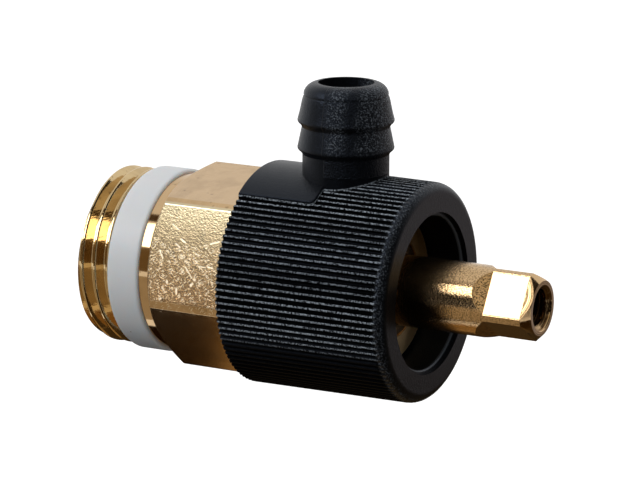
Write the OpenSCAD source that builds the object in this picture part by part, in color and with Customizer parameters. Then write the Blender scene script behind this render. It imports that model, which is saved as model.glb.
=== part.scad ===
// Air vent valve: a brass screw-in body, a swivel hose sleeve and a square-headed spindle.
// The X axis is the valve's own axis, from the thread end towards the spindle's tip.
// Z points up along the hose tail. The origin is on the axis, at the face of the seal ring
// that lands on the socket's rim. All lengths are in millimetres.

/* [Thread stub] */
// Outer diameter of the G 3/8 pipe thread
thread_d = 16.66; // [16.5:0.02:16.7]
// Length of the stub, from its end to the collar
stub_len = 7; // [6.5:0.25:9]
// Chamfer round the end of the thread
thread_chamfer = 0.45; // [0.3:0.05:0.6]
// Bore in the stub that the air comes in by
inlet_d = 10; // [9:0.25:11]
// Diameter of the hole through the valve seat
seat_d = 4; // [3:0.25:4.5]

/* [Seal ring] */
// Thickness of the white ring, from its groove to its outside
seal_wall = 1.25; // [1:0.05:1.5]
// Width of the ring, and of the groove that it lies in
seal_w = 3.3; // [2.8:0.1:3.6]
// Diameter of the groove under the ring
seal_seat_d = 14.8; // [14.4:0.1:15.2]

/* [Hexagon] */
// Diameter of the round collar in front of the hexagon
collar_d = 16.6; // [16.2:0.1:16.8]
// Width of the collar
collar_w = 1; // [0.8:0.1:1.4]
// Width across the flats
hex_af = 17; // [16.9:0.05:17.1]
// Diameter that the corners are turned down to
hex_corner_d = 19.2; // [18.8:0.1:19.4]
// Distance from the collar's shoulder to the end of the hexagon
hex_end = 9; // [8:0.25:10]
// Turn of the hexagon about the axis, in degrees
hex_turn = 19; // [0:1:60]

/* [Neck] */
// Diameter of the neck that the sleeve turns on
neck_d = 13.6; // [13.4:0.05:13.7]
// Length of the neck beyond the hexagon
neck_len = 13.3; // [13.2:0.1:14]
// Cord of the sleeve's O-rings
sleeve_cord = 1.23; // [1.2:0.01:1.3]
// Wire of the snap ring that holds the sleeve
snap_wire = 0.9; // [0.8:0.05:1]

/* [Sleeve] */
// Diameter over the ribs at the hexagon's end
sleeve_rear_d = 20.5; // [20.3:0.1:20.7]
// Diameter over the ribs at the open end
sleeve_front_d = 20.1; // [20:0.1:20.2]
// Length of the sleeve
sleeve_len = 16.8; // [16.6:0.1:17.4]
// Radius of the edge at the open end
sleeve_edge_r = 1; // [0.8:0.1:1.2]
// Number of grip ribs in a full turn
rib_count = 104; // [96:4:112]
// Depth of the grooves between the ribs
rib_depth = 0.25; // [0.15:0.05:0.3]
// Bore of the open end
mouth_d = 14.1; // [13.9:0.1:14.3]
// Diameter of the shallow step at the very mouth
mouth_step_d = 14.8; // [14.5:0.1:15]
// Diameter of the smooth pad behind the hose tail
pad_d = 20.9; // [20.7:0.1:21.1]
// Width of the pad
pad_w = 11.8; // [11:0.2:12.6]

/* [Hose tail] */
// Distance of the hose tail from the sleeve's open end
tail_inset = 8.9; // [8.7:0.1:9.1]
// Height of the hose tail's end above the valve's axis
tail_top = 18.57; // [18.2:0.01:19]
// Diameter of the hose tail below its barbs
tail_d = 7.9; // [7.5:0.1:8.1]
// Diameter over the barbs
barb_d = 8.8; // [8.5:0.1:9]
// Distance from one barb to the next
barb_pitch = 2.5; // [2.4:0.05:2.6]
// Bore of the hose tail
tail_bore_d = 5.1; // [4.6:0.1:5.3]

/* [Spindle] */
// Diameter of the spindle's shank
shank_d = 6.5; // [6.4:0.05:6.6]
// Distance from the sleeve's open end to the spindle's tip
tip_reach = 10.83; // [10:0.01:12]
// Length of the square from the tip to the foot of its shoulders
square_len = 4.35; // [4:0.05:5]
// Width across the flats of the square
square_af = 5; // [4.9:0.05:5.1]
// Turn of the square about the axis, in degrees
square_turn = 32; // [0:1:90]
// Slope of the milled shoulders against the axis, in degrees
shoulder_angle = 31; // [28:1:45]
// Diameter of the tapped hole in the tip, before threading for M4
tap_d = 3.3; // [3.2:0.05:3.4]
// Depth of the tapped hole
tap_depth = 8; // [6:0.5:10]
// Travel of the spindle from closed to fully open
travel = 1.5; // [1:0.1:1.6]

/* [Fits] */
// Radial clearance of the sleeve on the neck
swivel_fit = 0.05; // [0.03:0.01:0.08]
// Radial clearance of the spindle in the gland
gland_fit = 0.05; // [0.03:0.01:0.08]
// Radial clearance of the spindle's screw in the works bore
screw_fit = 0.1; // [0.05:0.01:0.1]
// Radial clearance of the O-rings on what they seal
seal_fit = 0.02; // [0.01:0.01:0.05]
// Gap between the hexagon and the sleeve
sleeve_gap = 0.2; // [0.15:0.05:0.3]
// Gap that is left where the spindle's travel ends, at the seat and at the washer
shut_gap = 0.05; // [0.02:0.01:0.1]

/* [Hidden] */
$fn = 96;
// How far a cutting solid runs past the face that it opens
over = 1;

// Distances from the collar's shoulder
inlet_wall = 1;
seat_depth = 3;

// Distances from the end of the hexagon
snap_offset = 1.3;
rear_seal_offset = 3.4;
waist_offset = 4.9;
port_offset = 6.2;
screw_offset = 2.5;

// Distances back from the end of the neck
land_inset = 0.3;
front_seal_inset = 1.7;
waist_inset = 3;
gland_depth = 4.7;

// Places along the axis
shoulder_x = seal_w;
stub_end = shoulder_x - stub_len;
hex_from = shoulder_x + collar_w;
hex_to = shoulder_x + hex_end;
neck_end = hex_to + neck_len;
sleeve_rear = hex_to + sleeve_gap;
sleeve_front = sleeve_rear + sleeve_len;
tail_x = sleeve_front - tail_inset;
tip_x = sleeve_front + tip_reach;
inlet_floor = shoulder_x + inlet_wall;
bore_floor = shoulder_x + seat_depth;
snap_x = hex_to + snap_offset;
rear_seal_x = hex_to + rear_seal_offset;
front_seal_x = neck_end - front_seal_inset;
waist_from = hex_to + waist_offset;
waist_to = neck_end - waist_inset;
land_end = neck_end - land_inset;
port_x = hex_to + port_offset;

// The body's bores and grooves
works_d = 7.9;
port_d = 2.2;
waist_d = 10.8;
sleeve_seal_seat_d = neck_d + 2 * swivel_fit - 2 * sleeve_cord - 2 * seal_fit;
sleeve_seal_w = 1.6;
snap_seat_d = neck_d - 2 * snap_wire;
neck_chamfer = 0.2;
hex_chamfer_len = 0.85;
seat_lip_w = 0.5;
seat_lip_h = 0.4;

// The gland stack, from the washer to the end of the neck
gland_d = 9.3;
washer_x = neck_end - gland_depth;
washer_w = 0.6;
gland_seal_w = 1.4;
bush_x = washer_x + washer_w + gland_seal_w;
bush_chamfer = 0.25;
gland_bore_d = shank_d + 2 * gland_fit;

// The sleeve
sleeve_bore_d = neck_d + 2 * swivel_fit;
mouth_step_len = 0.4;
snap_bite = 0.5;
snap_room = 0.1;
tail_port_d = 3.5;
tail_port_top = 9.2;
tail_root = 8;
pad_floor = 7.6;
pad_corner_r = 0.8;
crest_share = 0.36;
root_share = 0.26;

// The hose tail's outline
barb_lip_r = 0.28;
barb_drop = 3.4;
barb_lip_z = tail_top - barb_drop;
barb_under = 0.6;
barb_waist_r = 4;
nose_len = 1.12;
nose_z = tail_top - nose_len;
nose_r = 3.87;
nose_rim_r = 2.6;

// The spindle and the seal that swivels on its inner end, both in the closed position
disc_d = 5.6;
disc_w = 0.9;
carrier_d = 6.6;
carrier_rim = 0.5;
carrier_plate = 0.6;
carrier_gap = 0.2;
stem_d = 2;
stem_head_d = 2.8;
stem_head_len = 0.6;
crimp_len = 1.2;
crimp_d = stem_d + 0.2;
stem_room_d = stem_head_d + 0.3;
stem_room_len = 1.1;
disc_x = bore_floor + seat_lip_h + shut_gap;
plate_x = disc_x + disc_w;
stem_x = plate_x + carrier_plate;
spindle_x = stem_x + carrier_gap;
crimp_x = spindle_x + crimp_len;
screw_d = works_d - 2 * screw_fit;
screw_end = hex_to + screw_offset;
screw_flat_af = 6.4;
slim_d = 5.2;
stop_len = 1.5;
stop_end = washer_x - travel - shut_gap;
tip_face_d = 5;
tip_chamfer = (shank_d - tip_face_d) / 2;
square_x = tip_x - square_len;
sink_d = 4.2;

// Turns an outline of [radius, x] points about the X axis
module turned() rotate([0, 90, 0]) rotate_extrude() children();

// A round bar along the X axis
module bar(d, from, to) translate([from, 0, 0]) rotate([0, 90, 0]) cylinder(d = d, h = to - from);

// A ring round the X axis with a rectangular section
module band(outer_d, inner_d, from, to) turned() translate([inner_d / 2, from])
    square([(outer_d - inner_d) / 2, to - from]);

// An O-ring or wire ring round the X axis
module cord_ring(inner_d, cord, x) turned() translate([(inner_d + cord) / 2, x]) circle(d = cord, $fn = 48);

// Collar and hexagon, with the hexagon's corners turned down and chamfered towards the thread
module hexagon_blank() {
    corner_r = hex_corner_d / 2;
    intersection() {
        rotate([-hex_turn, 0, 0]) translate([shoulder_x, 0, 0]) rotate([0, 90, 0])
            cylinder(d = hex_af / cos(30), h = hex_to - shoulder_x, $fn = 6);
        turned() polygon([[0, shoulder_x], [collar_d / 2, shoulder_x], [collar_d / 2, hex_from],
            [corner_r, hex_from + hex_chamfer_len], [corner_r, hex_to], [0, hex_to]]);
    }
}

// Thread stub, the seat of the seal ring and the neck in one turning
module core_blank() {
    thread_r = thread_d / 2;
    neck_r = neck_d / 2;
    turned() polygon([[0, stub_end], [thread_r - thread_chamfer, stub_end],
        [thread_r, stub_end + thread_chamfer], [thread_r, 0], [seal_seat_d / 2, 0],
        [seal_seat_d / 2, hex_from], [neck_r, hex_from], [neck_r, neck_end - neck_chamfer],
        [neck_r - neck_chamfer, neck_end], [0, neck_end]]);
}

// Grooves for the snap ring and the O-rings, and the waist that feeds the hose tail
module neck_grooves() {
    band(neck_d + over, snap_seat_d, snap_x - snap_wire / 2, snap_x + snap_wire / 2);
    for (x = [rear_seal_x, front_seal_x])
        band(neck_d + over, sleeve_seal_seat_d, x - sleeve_seal_w / 2, x + sleeve_seal_w / 2);
    band(neck_d + over, waist_d, waist_from, waist_to);
}

// Inlet, seat, works bore with its raised seat lip, gland bore and cross ports
module body_bores() {
    bar(inlet_d, stub_end - over, inlet_floor);
    bar(seat_d, inlet_floor - over, bore_floor + over);
    difference() {
        bar(works_d, bore_floor, neck_end + over);
        band(seat_d + 2 * seat_lip_w, seat_d - over, bore_floor - over, bore_floor + seat_lip_h);
    }
    bar(gland_d, washer_x, neck_end + over);
    for (turn = [0, 90])
        translate([port_x, 0, 0]) rotate([turn, 0, 0]) cylinder(d = port_d, h = neck_d, center = true);
}

module valve_body() color("#b8924a") difference() {
    union() {
        core_blank();
        hexagon_blank();
    }
    neck_grooves();
    body_bores();
}

// White ring that seals the thread against the socket's face
module thread_seal_ring() color("#e6e8ea") {
    r = seal_seat_d / 2 + seal_wall;
    rear_round = 0.35;
    front_round = 0.15;
    turned() polygon([[seal_seat_d / 2, 0], [r - rear_round, 0], [r, rear_round],
        [r, shoulder_x - front_round], [r - front_round, shoulder_x], [seal_seat_d / 2, shoulder_x]]);
}

module rear_o_ring() color("#1a1a1a") cord_ring(sleeve_seal_seat_d, sleeve_cord, rear_seal_x);

module front_o_ring() color("#1a1a1a") cord_ring(sleeve_seal_seat_d, sleeve_cord, front_seal_x);

// Split wire ring that lies half in the neck and half in the sleeve
module snap_ring() color("#9a9ca0") {
    gap = 1.6;
    difference() {
        cord_ring(sleeve_bore_d + snap_bite - 2 * snap_wire, snap_wire, snap_x);
        translate([snap_x - snap_wire, -gap / 2, -neck_d]) cube([2 * snap_wire, gap, neck_d]);
    }
}

module gland_bush() color("#b8924a") turned() polygon([[gland_bore_d / 2, bush_x], [gland_d / 2, bush_x],
    [gland_d / 2, neck_end - bush_chamfer], [gland_d / 2 - bush_chamfer, neck_end],
    [gland_bore_d / 2, neck_end]]);

module thrust_washer() color("#c8a050") band(gland_d, gland_bore_d, washer_x, washer_x + washer_w);

module spindle_o_ring() color("#1a1a1a")
    cord_ring(shank_d + 2 * seal_fit, (gland_d - shank_d) / 2 - seal_fit,
        washer_x + washer_w + gland_seal_w / 2);

// Outline of the ribbed sleeve, four points to a rib: two on its crest and two in the groove
function rib_outline(crest_r) = [
    for (i = [0 : rib_count - 1], corner = [0 : 3])
        let (
            share = [-crest_share / 2, crest_share / 2, 0.5 - root_share / 2, 0.5 + root_share / 2][corner],
            r = corner < 2 ? crest_r : crest_r - rib_depth,
            a = (i + share) * 360 / rib_count
        ) [r * cos(a), r * sin(a)]
];

// The sleeve's drafted and ribbed outside, with its rounded front edge
module ribbed_barrel() {
    front_r = sleeve_front_d / 2;
    edge_x = sleeve_front - sleeve_edge_r;
    intersection() {
        translate([sleeve_rear, 0, 0]) rotate([0, 90, 0])
            linear_extrude(height = sleeve_len, scale = sleeve_front_d / sleeve_rear_d)
                polygon(rib_outline(sleeve_rear_d / 2));
        turned() {
            translate([0, sleeve_rear]) square([sleeve_rear_d, sleeve_len - sleeve_edge_r]);
            translate([0, edge_x - over]) square([front_r - sleeve_edge_r, sleeve_edge_r + over]);
            translate([front_r - sleeve_edge_r, edge_x]) circle(r = sleeve_edge_r);
        }
    }
}

// Smooth pad from the hexagon's end to the hose tail, with rounded front corners
module pad() {
    pad_len = tail_x - sleeve_rear;
    intersection() {
        bar(pad_d, sleeve_rear, tail_x);
        translate([sleeve_rear, -pad_w / 2, pad_floor]) linear_extrude(height = pad_d / 2) {
            square([pad_len - pad_corner_r, pad_w]);
            translate([0, pad_corner_r]) square([pad_len, pad_w - 2 * pad_corner_r]);
            for (y = [pad_corner_r, pad_w - pad_corner_r])
                translate([pad_len - pad_corner_r, y]) circle(r = pad_corner_r);
        }
    }
}

// Rounded lip of a barb as points, from its underside to its slope
function barb_lip(z) = [
    for (a = [-75 : 25 : 25])
        [barb_d / 2 - barb_lip_r * (1 - cos(a)), z + barb_lip_r * sin(a)]
];

// Rounded nose of the hose tail as points, from its side to its end
function nose() = [
    for (a = [0 : 15 : 90])
        [nose_rim_r + (nose_r - nose_rim_r) * cos(a), nose_z + nose_len * sin(a)]
];

// Hose tail with two barbs and a rounded nose, standing on Z
module hose_tail() {
    low_lip_z = barb_lip_z - barb_pitch;
    translate([tail_x, 0, 0]) rotate_extrude() polygon(concat(
        [[0, tail_root], [tail_d / 2, tail_root], [tail_d / 2, low_lip_z - barb_under]],
        barb_lip(low_lip_z),
        [[barb_waist_r, barb_lip_z - barb_under]],
        barb_lip(barb_lip_z),
        nose(),
        [[0, tail_top]]
    ));
}

// The sleeve's stepped bore, the snap ring's groove and the way up into the hose tail
module sleeve_bores() {
    lead_in = 0.4;
    turned() polygon([[0, sleeve_rear - over], [sleeve_bore_d / 2 + lead_in + over, sleeve_rear - over],
        [sleeve_bore_d / 2, sleeve_rear + lead_in], [sleeve_bore_d / 2, land_end], [mouth_d / 2, land_end],
        [mouth_d / 2, sleeve_front - mouth_step_len], [mouth_step_d / 2, sleeve_front - mouth_step_len],
        [mouth_step_d / 2, sleeve_front + over], [0, sleeve_front + over]]);
    band(sleeve_bore_d + snap_bite + 2 * snap_room, sleeve_bore_d - over,
        snap_x - snap_wire / 2 - snap_room, snap_x + snap_wire / 2 + snap_room);
    translate([tail_x, 0, 0]) cylinder(d = tail_port_d, h = tail_port_top);
    translate([tail_x, 0, tail_port_top]) cylinder(d = tail_bore_d, h = tail_top);
}

module hose_sleeve() color("#23262a") difference() {
    union() {
        ribbed_barrel();
        pad();
        hose_tail();
    }
    sleeve_bores();
}

// What is milled away for one flat of the square, on the side that faces -Y
module flat_cutter() {
    flat_y = square_af / 2;
    out_y = shank_d;
    out_x = tip_x + over;
    ramp = (out_y - flat_y) / tan(shoulder_angle);
    linear_extrude(height = 2 * shank_d, center = true)
        polygon([[square_x, -flat_y], [out_x, -flat_y], [out_x, -out_y], [square_x - ramp, -out_y]]);
}

// What is milled away for one flat along the spindle's screw, where the air goes by
module bypass_cutter() translate([spindle_x - over, -works_d, -works_d])
    cube([screw_end - spindle_x + over, works_d - screw_flat_af / 2, 2 * works_d]);

// Screw, slim part, stop collar and shank in one turning
module spindle_blank() turned() polygon([
    [0, spindle_x], [screw_d / 2, spindle_x], [screw_d / 2, screw_end], [slim_d / 2, screw_end],
    [slim_d / 2, stop_end - stop_len], [screw_d / 2, stop_end - stop_len], [screw_d / 2, stop_end],
    [shank_d / 2, stop_end], [shank_d / 2, tip_x - tip_chamfer], [tip_face_d / 2, tip_x], [0, tip_x]
]);

// Tapped hole in the tip, with its countersink
module tip_hole() {
    sink = (sink_d - tap_d) / 2;
    turned() polygon([[0, tip_x - tap_depth - tap_d / 2], [tap_d / 2, tip_x - tap_depth],
        [tap_d / 2, tip_x - sink], [sink_d / 2 + over, tip_x + over], [0, tip_x + over]]);
}

module spindle() color("#c39a52") difference() {
    spindle_blank();
    for (turn = [0 : 90 : 270])
        rotate([turn - square_turn, 0, 0]) flat_cutter();
    for (turn = [0, 180])
        rotate([turn, 0, 0]) bypass_cutter();
    tip_hole();
    bar(crimp_d, spindle_x - over, crimp_x + over);
    bar(stem_room_d, crimp_x, crimp_x + stem_room_len);
}

// Cup for the seat seal, with the headed stem that swivels in the spindle
module seal_carrier() color("#c8a050") {
    head_x = crimp_x + carrier_gap;
    difference() {
        bar(carrier_d, plate_x - carrier_rim, stem_x);
        bar(disc_d, plate_x - carrier_rim - over, plate_x);
    }
    bar(stem_d, stem_x, head_x);
    bar(stem_head_d, head_x, head_x + stem_head_len);
}

module seat_seal() color("#1a1a1a") bar(disc_d, disc_x, plate_x);

valve_body();
thread_seal_ring();
rear_o_ring();
front_o_ring();
snap_ring();
gland_bush();
thrust_washer();
spindle_o_ring();
hose_sleeve();
spindle();
seal_carrier();
seat_seal();
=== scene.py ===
"""Air vent valve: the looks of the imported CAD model, built in Blender 4.5.

The X axis is the valve's own axis, from the thread to the spindle's tip, and Z runs up the hose tail.
Sizes in this file are in millimetres and become metres where a mesh is made.
"""

import logging
import math
from dataclasses import dataclass
from enum import Enum
from itertools import pairwise
from typing import Any, Mapping, Sequence

import bpy
from mathutils import Matrix, Quaternion, Vector

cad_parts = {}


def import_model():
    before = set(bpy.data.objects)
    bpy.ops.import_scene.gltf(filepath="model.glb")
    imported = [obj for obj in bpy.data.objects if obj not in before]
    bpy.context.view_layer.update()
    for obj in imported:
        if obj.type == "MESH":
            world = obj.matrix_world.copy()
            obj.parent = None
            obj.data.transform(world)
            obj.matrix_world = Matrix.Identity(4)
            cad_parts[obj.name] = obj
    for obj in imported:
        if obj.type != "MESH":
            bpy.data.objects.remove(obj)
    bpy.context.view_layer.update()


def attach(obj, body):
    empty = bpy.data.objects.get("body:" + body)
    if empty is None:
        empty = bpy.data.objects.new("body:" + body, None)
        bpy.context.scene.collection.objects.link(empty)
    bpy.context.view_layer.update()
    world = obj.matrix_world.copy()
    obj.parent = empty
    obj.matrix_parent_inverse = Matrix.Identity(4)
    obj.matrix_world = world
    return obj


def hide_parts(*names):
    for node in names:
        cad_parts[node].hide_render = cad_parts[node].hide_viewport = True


LOG = logging.getLogger("air_vent_valve")
MM = 0.001
PHOTO_WIDTH = 631

Point = tuple[float, float]
Outline = Sequence[Point]
Sockets = Mapping[str, bpy.types.NodeSocket]


class Body(Enum):
    """Names of the rigid bodies that the pieces ride on."""

    VALVE = "valve"
    SLEEVE = "sleeve"
    SEAL = "seal"
    SPINDLE = "spindle"


class Slot(Enum):
    """Names of the record's material slots."""

    BODY_BRASS = "body_brass"
    WORKS_BRASS = "works_brass"
    RING_PLASTIC = "ring_plastic"
    SLEEVE_PLASTIC = "sleeve_plastic"
    SEAL_RUBBER = "seal_rubber"
    SPRING_STEEL = "spring_steel"


class Direction(Enum):
    """Axes that an outline is turned round."""

    VALVE = "X"
    TAIL = "Z"


# Modelling by operators


def deselect() -> None:
    """Leaves nothing selected and no mesh in edit mode."""
    if bpy.context.object and bpy.context.object.mode != "OBJECT":
        bpy.ops.object.mode_set(mode="OBJECT")
    bpy.ops.object.select_all(action="DESELECT")


def pick(piece: bpy.types.Object) -> None:
    """Selects one object alone and makes it active."""
    deselect()
    piece.select_set(True)
    bpy.context.view_layer.objects.active = piece


def named(name: str) -> bpy.types.Object:
    """Names the new active object and its mesh, and returns the object."""
    piece = bpy.context.object
    piece.name = name
    piece.data.name = name
    return piece


def settle(piece: bpy.types.Object) -> bpy.types.Object:
    """Puts an object's place, turn and scale into its mesh, and returns the object."""
    pick(piece)
    bpy.ops.object.transform_apply(location=True, rotation=True, scale=True)
    return piece


def finish_modifier(piece: bpy.types.Object, kind: str, **settings: Any) -> None:
    """Adds a modifier to a piece and applies it.

    Args:
        piece: Object that gets the modifier.
        kind: Blender's name of the modifier type.
        settings: The modifier's own properties.
    """
    pick(piece)
    modifier = piece.modifiers.new(kind.lower(), kind)
    for name, value in settings.items():
        setattr(modifier, name, value)
    bpy.ops.object.modifier_apply(modifier=modifier.name)


def soften(piece: bpy.types.Object, width: float, over_degrees: float = 25.0, segments: int = 2) -> None:
    """Rounds a piece's sharp edges.

    Args:
        piece: Object whose edges are rounded.
        width: Width of the rounding, in mm.
        over_degrees: Only edges that turn by more than this angle are rounded.
        segments: Faces across the rounding.
    """
    finish_modifier(
        piece,
        "BEVEL",
        width=width * MM,
        segments=segments,
        limit_method="ANGLE",
        angle_limit=math.radians(over_degrees),
        use_clamp_overlap=False,
        harden_normals=False,
    )


def combine(piece: bpy.types.Object, tool: bpy.types.Object, operation: str) -> None:
    """Joins, cuts or intersects a piece with a tool that is used up.

    Args:
        piece: Closed mesh that is kept.
        tool: Closed mesh that it is combined with.
        operation: "UNION", "DIFFERENCE" or "INTERSECT".
    """
    finish_modifier(piece, "BOOLEAN", object=tool, operation=operation, solver="MANIFOLD")
    bpy.data.objects.remove(tool)


def smooth(piece: bpy.types.Object, angle: float = 30.0) -> None:
    """Shades a piece smooth, with large faces kept true.

    Args:
        piece: Object that is shaded.
        angle: Edges that turn by more than this angle stay sharp, in degrees.
    """
    pick(piece)
    bpy.ops.object.shade_smooth_by_angle(angle=math.radians(angle))
    # Faces of some square millimetres count as nothing here, so they are weighed a thousand times larger.
    piece.scale = (1 / MM, 1 / MM, 1 / MM)
    settle(piece)
    finish_modifier(piece, "WEIGHTED_NORMAL", keep_sharp=True, weight=100)
    piece.scale = (MM, MM, MM)
    settle(piece)


def helix_cutter(name: str, section: Outline, pitch: float, first: float, turns: int,
                 steps: int = 96) -> bpy.types.Object:
    """Sweeps a groove's section along a right-handed helix.

    Args:
        name: Name of the tool.
        section: Points as (place along the axis, radius) in mm, round the open side of the groove.
        pitch: Travel in one turn, in mm.
        first: Place of the section's zero where the helix starts, in mm.
        turns: Number of turns.
        steps: Sections in one turn.

    Returns:
        The closed tool.
    """
    deselect()
    bpy.ops.mesh.primitive_circle_add(vertices=len(section), radius=MM)
    tool = settle(named(name))
    for vertex, (x, r) in zip(tool.data.vertices, section):
        vertex.co = ((first + x) * MM, -r * MM, 0)
    finish_modifier(tool, "SCREW", axis="X", screw_offset=turns * pitch * MM, angle=turns * math.tau,
                    steps=turns * steps, render_steps=turns * steps, use_merge_vertices=False)
    pick(tool)
    bpy.ops.object.mode_set(mode="EDIT")
    bpy.ops.mesh.select_all(action="DESELECT")
    bpy.ops.mesh.select_non_manifold(extend=False)
    bpy.ops.mesh.edge_face_add()
    bpy.ops.mesh.select_all(action="SELECT")
    bpy.ops.mesh.normals_make_consistent(inside=False)
    bpy.ops.object.mode_set(mode="OBJECT")
    return tool


def turned(name: str, outline: Outline, ring: bool = False, segments: int = 128,
           about: Direction = Direction.VALVE, at: float = 0.0) -> bpy.types.Object:
    """Turns an outline round an axis, one extruded ring of points after another.

    Args:
        name: Name of the new object.
        outline: Points as (place along the axis, radius) in mm. No radius is zero.
        ring: Whether the last point joins the first, which leaves a hole through the piece.
        segments: Points in each ring.
        about: Axis that the outline is turned round.
        at: Place of an upright axis along the valve, in mm.

    Returns:
        The closed piece, settled at the origin.
    """
    deselect()
    start, radius = outline[0]
    bpy.ops.mesh.primitive_circle_add(
        vertices=segments, radius=radius * MM, location=(start * MM, 0, 0), rotation=(0, math.pi / 2, 0)
    )
    piece = settle(named(name))
    bpy.ops.object.mode_set(mode="EDIT")
    bpy.ops.mesh.select_all(action="SELECT")
    points = [*outline, outline[0]] if ring else outline
    for (x0, r0), (x1, r1) in pairwise(points):
        bpy.ops.mesh.extrude_edges_move(TRANSFORM_OT_translate={"value": ((x1 - x0) * MM, 0, 0)})
        bpy.ops.transform.resize(value=(1, r1 / r0, r1 / r0), center_override=(x1 * MM, 0, 0))
    bpy.ops.mesh.select_all(action="SELECT")
    bpy.ops.mesh.remove_doubles(threshold=0.001 * MM)
    if not ring:
        bpy.ops.mesh.select_all(action="DESELECT")
        bpy.ops.mesh.select_non_manifold(extend=False)
        bpy.ops.mesh.edge_face_add()
    bpy.ops.mesh.select_all(action="SELECT")
    bpy.ops.mesh.normals_make_consistent(inside=False)
    bpy.ops.object.mode_set(mode="OBJECT")
    if about is Direction.TAIL:
        piece.rotation_euler = (0, -math.pi / 2, 0)
        piece.location = (at * MM, 0, 0)
        settle(piece)
    return piece


def drill(name: str, radius: float, low: float, high: float, at: float, turn: float = 0.0,
          segments: int = 64) -> bpy.types.Object:
    """Makes a round tool that stands across the valve's axis.

    Args:
        name: Name of the tool.
        radius: Its radius in mm.
        low: Height of its lower end over the valve's axis, in mm.
        high: Height of its upper end, in mm.
        at: Place along the valve, in mm.
        turn: Turn about the valve's axis, in degrees.
        segments: Points in each ring.

    Returns:
        The closed tool.
    """
    tool = turned(name, ((low, radius), (high, radius)), segments=segments, about=Direction.TAIL, at=at)
    tool.rotation_euler = (math.radians(turn), 0, 0)
    return settle(tool)


def block(name: str, low: Sequence[float], high: Sequence[float]) -> bpy.types.Object:
    """Makes a box from its lowest to its highest corner, in mm, and returns it."""
    deselect()
    middle = [(a + b) / 2 * MM for a, b in zip(low, high)]
    bpy.ops.mesh.primitive_cube_add(size=1, location=middle)
    piece = named(name)
    piece.scale = [(b - a) * MM for a, b in zip(low, high)]
    return settle(piece)


# Materials


def linear(code: str) -> tuple[float, float, float, float]:
    """Turns an sRGB hex colour such as "#c89a4b" into Blender's linear colour."""
    channels = (int(code[i:i + 2], 16) / 255 for i in (1, 3, 5))
    r, g, b = (c / 12.92 if c <= 0.04045 else ((c + 0.055) / 1.055) ** 2.4 for c in channels)
    return (r, g, b, 1.0)


def add_node(tree: bpy.types.NodeTree, kind: str, inputs: Mapping[Any, Any] | None = None,
             **settings: Any) -> bpy.types.Node:
    """Adds a node to a tree, with its settings, values and links.

    Args:
        tree: Node tree that it goes in.
        kind: Blender's name of the node type, without "ShaderNode" before it.
        inputs: A value, or an output socket to link from, for each input by name or number.
        settings: The node's own properties.

    Returns:
        The new node.
    """
    node = tree.nodes.new("ShaderNode" + kind)
    for name, value in settings.items():
        setattr(node, name, value)
    for name, value in (inputs or {}).items():
        if isinstance(value, bpy.types.NodeSocket):
            tree.links.new(value, node.inputs[name])
        else:
            node.inputs[name].default_value = value
    return node


@dataclass(frozen=True)
class Finish:
    """A real material and how its surface was made."""

    name: str
    base: str
    roughness: float
    metallic: float = 0.0
    ior: float = 1.5
    grain: float = 0.12
    grain_depth: float = 0.001

    def material(self) -> bpy.types.Material:
        """Returns the Blender material, made once and then shared."""
        found = bpy.data.materials.get(self.name)
        if found:
            return found
        made = bpy.data.materials.new(self.name)
        made.use_nodes = True
        tree = made.node_tree
        shader = tree.nodes["Principled BSDF"]
        shader.inputs["Base Color"].default_value = linear(self.base)
        shader.inputs["Roughness"].default_value = self.roughness
        shader.inputs["Metallic"].default_value = self.metallic
        if self.metallic == 0:
            shader.inputs["IOR"].default_value = self.ior
        made.diffuse_color = linear(self.base)
        height = self.texture(tree, shader, unrolled(tree))
        bump = add_node(tree, "Bump", {"Height": height, "Distance": MM, "Strength": 1.0})
        tree.links.new(bump.outputs[0], shader.inputs["Normal"])
        return made

    def texture(self, tree: bpy.types.NodeTree, shader: bpy.types.Node, at: Sockets) -> bpy.types.NodeSocket:
        """Adds what varies over the surface. A plain finish has only its grain.

        Args:
            tree: Node tree of the material.
            shader: Its Principled shader.
            at: Sockets of unrolled().

        Returns:
            The height of the surface's relief, in mm.
        """
        return self.grains(tree, at)

    def grains(self, tree: bpy.types.NodeTree, at: Sockets) -> bpy.types.NodeSocket:
        """Returns the height of the fine grain, in mm.

        Args:
            tree: Node tree that it goes in.
            at: Sockets of unrolled().
        """
        speck = add_node(tree, "TexNoise", {"Vector": at["place"], "Scale": 0.5 / self.grain, "Detail": 2.0})
        return add_node(tree, "Math", {0: speck.outputs[0], 1: self.grain_depth * 4},
                        operation="MULTIPLY").outputs[0]


def unrolled(tree: bpy.types.NodeTree) -> Sockets:
    """Reads where a point lies on the turned valve, in millimetres.

    Args:
        tree: Node tree that reads it.

    Returns:
        Sockets "place" in space, "x" along the valve, "z" up, "r" from the axis, "arc" round it (0 in
        front, with its seam at the back) and "flat", the vector of x and arc that marks are drawn on.
    """
    place = add_node(tree, "TexCoord").outputs["Object"]
    scaled = add_node(tree, "VectorMath", {0: place, "Scale": 1 / MM}, operation="SCALE").outputs[0]
    part = add_node(tree, "SeparateXYZ", {0: scaled}).outputs
    front = add_node(tree, "Math", {0: part[1], 1: -1.0}, operation="MULTIPLY").outputs[0]
    angle = add_node(tree, "Math", {0: part[2], 1: front}, operation="ARCTAN2").outputs[0]
    cross = add_node(tree, "CombineXYZ", {0: 0.0, 1: part[1], 2: part[2]}).outputs[0]
    radius = add_node(tree, "VectorMath", {0: cross}, operation="LENGTH").outputs["Value"]
    arc = add_node(tree, "Math", {0: angle, 1: radius}, operation="MULTIPLY").outputs[0]
    flat = add_node(tree, "CombineXYZ", {0: part[0], 1: arc, 2: 0.0}).outputs[0]
    return {"place": scaled, "x": part[0], "z": part[2], "r": radius, "arc": arc, "flat": flat}


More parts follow.
